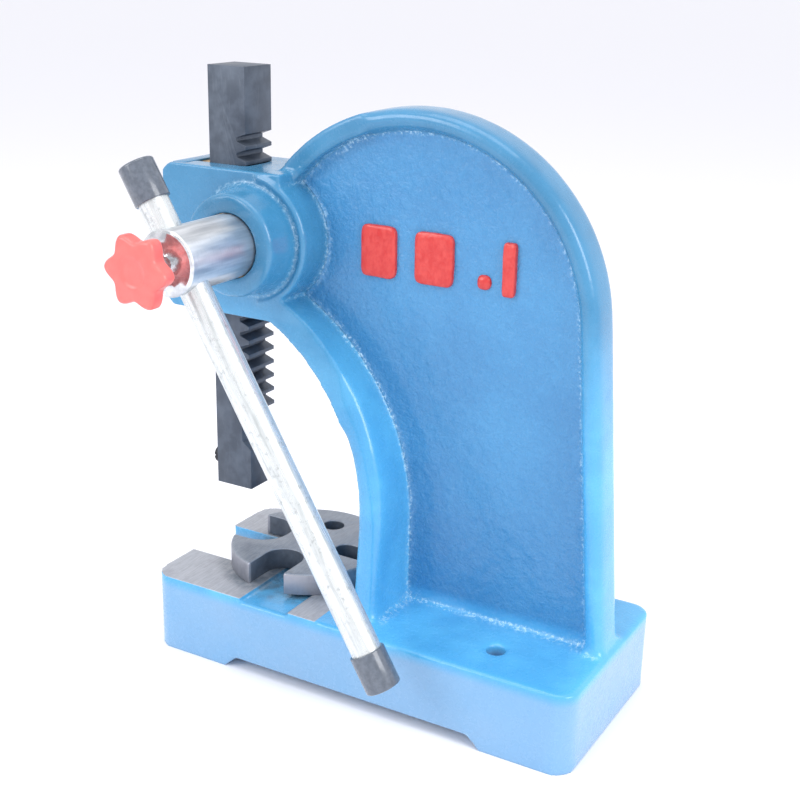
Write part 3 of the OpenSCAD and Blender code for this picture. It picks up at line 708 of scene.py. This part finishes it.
# Bright plating, handled: silvery white with grey streaks down the bar and duller spots.
PLATE_WHITE, PLATE_STREAK, PLATE_SPOT = "#dfe3e3", "#b6bcbc", "#8f9594"
plated, tree, shader, place = material("plated_handle_bar")
lean = np.arctan2(-slide[1], slide[2])
upright = add(tree, "Mapping", place, Rotation=(-lean, 0, 0))
streaks = add(tree, "TexNoise", add(tree, "Mapping", upright, Scale=(1, 1, 0.08)),
              Scale=1 / (2.2 * MM), Detail=4, Roughness=0.65)
spots = add(tree, "TexNoise", upright, Scale=1 / (3.5 * MM), Detail=4, Roughness=0.7)
tone = add(tree, "Mix", add(tree, "MapRange", streaks, 0.4, 0.75), linear(PLATE_WHITE),
           linear(PLATE_STREAK))
feed(shader, Metallic=0.6, Roughness=add(tree, "MapRange", streaks, 0.3, 0.8, 0.24, 0.4),
     Base_Color=add(tree, "Mix", add(tree, "MapRange", spots, 0.52, 0.72, 0, 0.6), tone,
                    linear(PLATE_SPOT)),
     Normal=add(tree, "Bump", Height=streaks, Strength=0.2, Distance=0.08 * MM))
object_from("plated_bar", mesh_of("plated_bar", bar), "handle", ["handle_bar"],
            plated)

# Moulded vinyl: a slate grey, softly shining, with a faint mottle.
CAP_LOW, CAP_HIGH = "#505863", "#616975"
satin, tree, shader, place = material("satin_grey_plastic")
mottle = add(tree, "TexNoise", place, Scale=1 / (3 * MM), Detail=3, Roughness=0.6)
skin = add(tree, "TexNoise", place, Scale=1 / (0.9 * MM), Detail=2)
feed(shader, Roughness=0.24, Coat_Weight=0.4,
     Base_Color=add(tree, "Mix", add(tree, "MapRange", mottle, 0.3, 0.7), linear(CAP_LOW),
                    linear(CAP_HIGH)),
     Normal=add(tree, "Bump", Height=skin, Strength=0.25, Distance=0.05 * MM))
cap_low, cap_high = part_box("handle_cap_upper")
cap_r = (cap_high.x - cap_low.x) / 2
end = half + CAP_OVER
mouth = end - CAP_LEN
profile = np.vstack([[mouth + CAP_DEEP, 0], [mouth + CAP_DEEP, bar_r + CAP_GAP],
                     [mouth + 0.3 * MM, bar_r + CAP_GAP],
                     corner(mouth, cap_r, LIP_EDGE, 180, 90, 4),
                     [[mouth + CAP_LEN / 2, cap_r]],
                     corner(end, cap_r, CAP_EDGE, 90, 0), [end, 0]])
for name, node, way in (("upper_cap", "handle_cap_upper", 1),
                        ("lower_cap", "handle_cap_lower", -1)):
    mesh = mesh_of(name, turned(profile, middle, Vector(slide) * way))
    object_from(name, mesh, "handle", [node], satin)
    mesh.set_sharp_from_angle(angle=np.radians(40))


# ---------------------------------------------------------------------------
# Star knob. A moulded red plastic knob of six lobes with a tapered collar, on a
# plain steel stud that goes into the shaft's end.
# ---------------------------------------------------------------------------

LOBES = 6
LOBE_TURN = np.radians(-3)
KNOB_R = 20.3 * MM
LOBE_DEPTH = 2.4 * MM
HEAD_THICK = 10 * MM
COLLAR_R = 6.5 * MM
pivot = Vector(joint("pinion_turn")["pos_m"])
low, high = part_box("star_knob")
back, front = low.x, high.x
head_back = front - HEAD_THICK
dished = front - 0.6 * MM   # the floor of the dish in its face, and where the rim begins
profile = np.vstack([
    # The collar, and how it flares into the head.
    [back, 0], [back, 5.6 * MM], corner(back, COLLAR_R, 0.6 * MM, 180, 90, 4),
    [[head_back - 2.5 * MM, 8.6 * MM], [head_back - 0.8 * MM, 9.8 * MM],
     [head_back, 11.5 * MM], [head_back + 0.1 * MM, 13.5 * MM]],
    # The head's rounded rim.
    corner(head_back, KNOB_R, 2.2 * MM, 180, 90, 7), corner(dished, KNOB_R, 2.6 * MM, 90, 0, 8),
    # Its crowned face, and the dish in the middle.
    [[front - 0.3 * MM, 13 * MM], [front, 9 * MM], [front - 0.05 * MM, 7.6 * MM],
     [front - 0.5 * MM, 7.0 * MM], [dished, 5 * MM]], [dished, 0]])
centre = np.array([0, pivot.y, pivot.z])
points, faces = turned(profile, centre, (1, 0, 0), 192)

# Each ring is drawn in between the lobes, by a cosine wave round it and more towards the rim.
off = points[:, 1:] - centre[1:]
radius = np.linalg.norm(off, axis=1)
angle = np.arctan2(off[:, 1], off[:, 0]) - LOBE_TURN
wave = 0.5 - 0.5 * np.cos(LOBES * angle)
draw = 1 - 2 * LOBE_DEPTH / KNOB_R * wave ** 0.85 * ramp(radius, 10 * MM, 18 * MM)
points[:, 1:] = centre[1:] + off * draw[:, None]

# Moulded plastic: a soft, slightly glowing coral red with a gentle shine.
KNOB_LOW, KNOB_HIGH = "#e3635f", "#ea7670"
moulded, tree, shader, place = material("moulded_red_plastic")
flow = add(tree, "TexNoise", place, Scale=1 / (6 * MM), Detail=2)
skin = add(tree, "TexNoise", place, Scale=1 / (1.2 * MM), Detail=2)
feed(shader, Base_Color=add(tree, "Mix", flow, linear(KNOB_LOW), linear(KNOB_HIGH)),
     Roughness=0.28, Subsurface_Weight=0.08, Subsurface_Radius=(2 * MM, 0.6 * MM, 0.5 * MM),
     Normal=add(tree, "Bump", Height=skin, Strength=0.15, Distance=0.05 * MM))
object_from("lobed_knob", mesh_of("lobed_knob", (points, faces)), "knob", ["star_knob"],
            moulded)
coat(frame["nodes"]["knob_stud"].data, bright)


# ---------------------------------------------------------------------------
# Arbor plate and its pin. A thick notched iron disc: its faces are ground, its
# slot walls are as cast, matt and coloured dark as painted shade, and it turns on a plain steel
# pin.
# ---------------------------------------------------------------------------

# Ground cast iron: a dull mid grey with fine lines one way across the face and stains, a
# browner rim, and matt walls inside the slots, coloured nearly black as painted shade.
GROUND_LOW, GROUND_HIGH, GROUND_STAIN = "#858c97", "#9aa1ab", "#727a86"
RIM_LOW, RIM_HIGH = "#83858f", "#a2a3ac"
# painted shade: the walls inside the slots, nearly black
SLOT_SHADE_LOW, SLOT_SHADE_HIGH = "#3d4652", "#525c6a"
PLATE_EDGE = 0.5 * MM
SLOT_REACH = 46.5 * MM, 47.8 * MM       # walls inside this radius are the slots'
low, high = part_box("arbor_plate")
ground, tree, shader, place = material("ground_plate_iron")
split = add(tree, "SeparateXYZ",
            add(tree, "Mapping", place, Location=(-pin.x, -pin.y, 0))).node.outputs
squares = [add(tree, "Math", split[way], split[way], operation="MULTIPLY") for way in "XY"]
out = add(tree, "Math", add(tree, "Math", *squares, operation="ADD"), operation="SQRT")
below = add(tree, "MapRange", split["Z"], high.z - 0.9 * MM, high.z - 0.35 * MM, 1, 0)
cast = add(tree, "Math", below, add(tree, "MapRange", out, *SLOT_REACH, 1, 0),
           operation="MULTIPLY")
cloud = add(tree, "TexNoise", place, Scale=1 / (12 * MM), Detail=4, Roughness=0.65)
patch = add(tree, "MapRange", cloud, 0.3, 0.7)
swirl = add(tree, "TexNoise",
            add(tree, "Mapping", place, Rotation=(0, 0, 0.6), Scale=(1, 10, 1)),
            Scale=1 / (5 * MM), Detail=3, Roughness=0.6)
face = add(tree, "Mix", add(tree, "MapRange", swirl, 0.3, 0.7), linear(GROUND_LOW),
           linear(GROUND_HIGH))
face = add(tree, "Mix", add(tree, "MapRange", cloud, 0.5, 0.8, 0, 0.6), face,
           linear(GROUND_STAIN))
rim = add(tree, "Mix", patch, linear(RIM_LOW), linear(RIM_HIGH))
edge = add(tree, "Mix", add(tree, "Math", below, 0.8, operation="MULTIPLY"), face, rim)
# painted shade on the matt as-cast slot walls
dark = add(tree, "Mix", patch, linear(SLOT_SHADE_LOW), linear(SLOT_SHADE_HIGH))
pits = add(tree, "TexNoise", place, Scale=1 / (2.5 * MM), Detail=3, Roughness=0.6)
pitted = add(tree, "Bump", Height=pits, Strength=0.3, Distance=0.25 * MM)
feed(shader, Base_Color=add(tree, "Mix", cast, edge, dark),
     Roughness=add(tree, "MapRange", cast, 0, 1, 0.42, 0.6),
     Metallic=add(tree, "MapRange", cast, 0, 1, 0.55, 0.1),
     Normal=add(tree, "Bump", Height=swirl, Strength=0.2, Distance=0.06 * MM, Normal=pitted))
eased_piece("notched_plate", "arbor_plate", "plate", PLATE_EDGE, ground)
coat(frame["nodes"]["plate_pivot_pin"].data, bright)


# ---------------------------------------------------------------------------
# Camera, floor and light: a product shot on a white sweep under soft lamps.
# ---------------------------------------------------------------------------

# Painted board: white and dead matt.
SWEEP_WHITE = "#f6f6fa"
FLOOR_REACH = 80.0
floor_mesh = bpy.data.meshes.new("floor")
floor_mesh.from_pydata([(a * FLOOR_REACH, b * FLOOR_REACH, 0)
                        for a, b in ((-1, -1), (1, -1), (1, 1), (-1, 1))], [], [(0, 1, 2, 3)])
floor = bpy.data.objects.new("floor", floor_mesh)
bpy.context.scene.collection.objects.link(floor)
board, tree, shader, place = material("white_sweep")
feed(shader, Base_Color=linear(SWEEP_WHITE), Roughness=0.7)
coat(floor_mesh, board)
floor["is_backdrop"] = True

ROOM_WHITE = "#fbfbff"
world = bpy.data.worlds.new("studio")
world.use_nodes = True
feed(world.node_tree.nodes["Background"], Color=linear(ROOM_WHITE), Strength=1.03)
bpy.context.scene.world = world

# Three square soft boxes: name, place, what it is turned to, its side and its power.
for name, at, target, side, power in (
        ("top_box", (0.2, -0.1, 1.5), (0, -0.05, 0.15), 1.0, 7),
        ("side_box", (1.2, -0.9, 0.9), (0, -0.1, 0.15), 0.8, 9),
        ("rear_box", (0.3, 1.3, 0.9), (0, -0.05, 0.2), 0.8, 12)):
    light = bpy.data.lights.new(name, "AREA")
    light.size = side
    light.energy = power
    box = bpy.data.objects.new(name, light)
    bpy.context.scene.collection.objects.link(box)
    box.location = at
    box.rotation_euler = (Vector(at) - Vector(target)).to_track_quat("Z", "Y").to_euler()

# The camera looks down and forwards along the press from beside its rear corner. Its
# turn, tilt and roll are in degrees, its lens in millimetres on a sensor 36 mm wide.
CAMERA_AT = 0.6191, 0.2687, 0.4118
TURN, TILT, ROLL = 29.43, 19.42, 1.346
LENS, SENSOR = 59.16, 36
SHIFT = -0.0052, 0.0161
lens = bpy.data.cameras.new("camera")
camera = bpy.data.objects.new("camera", lens)
bpy.context.scene.collection.objects.link(camera)
yaw, pitch, roll = np.radians([TURN, TILT, ROLL])
forward = Vector((-np.cos(yaw) * np.cos(pitch), -np.sin(yaw) * np.cos(pitch), -np.sin(pitch)))
level = forward.cross(Vector((0, 0, 1))).normalized()
above = level.cross(forward)
right = np.cos(roll) * level + np.sin(roll) * above
above = np.cos(roll) * above - np.sin(roll) * level
stand = Matrix((right, above, -forward)).transposed().to_4x4()
stand.translation = CAMERA_AT
camera.matrix_world = stand
lens.sensor_width = SENSOR
lens.lens = LENS
lens.shift_x, lens.shift_y = SHIFT
bpy.context.scene.camera = camera
bpy.context.scene.view_settings.view_transform = "Standard"

low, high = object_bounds()
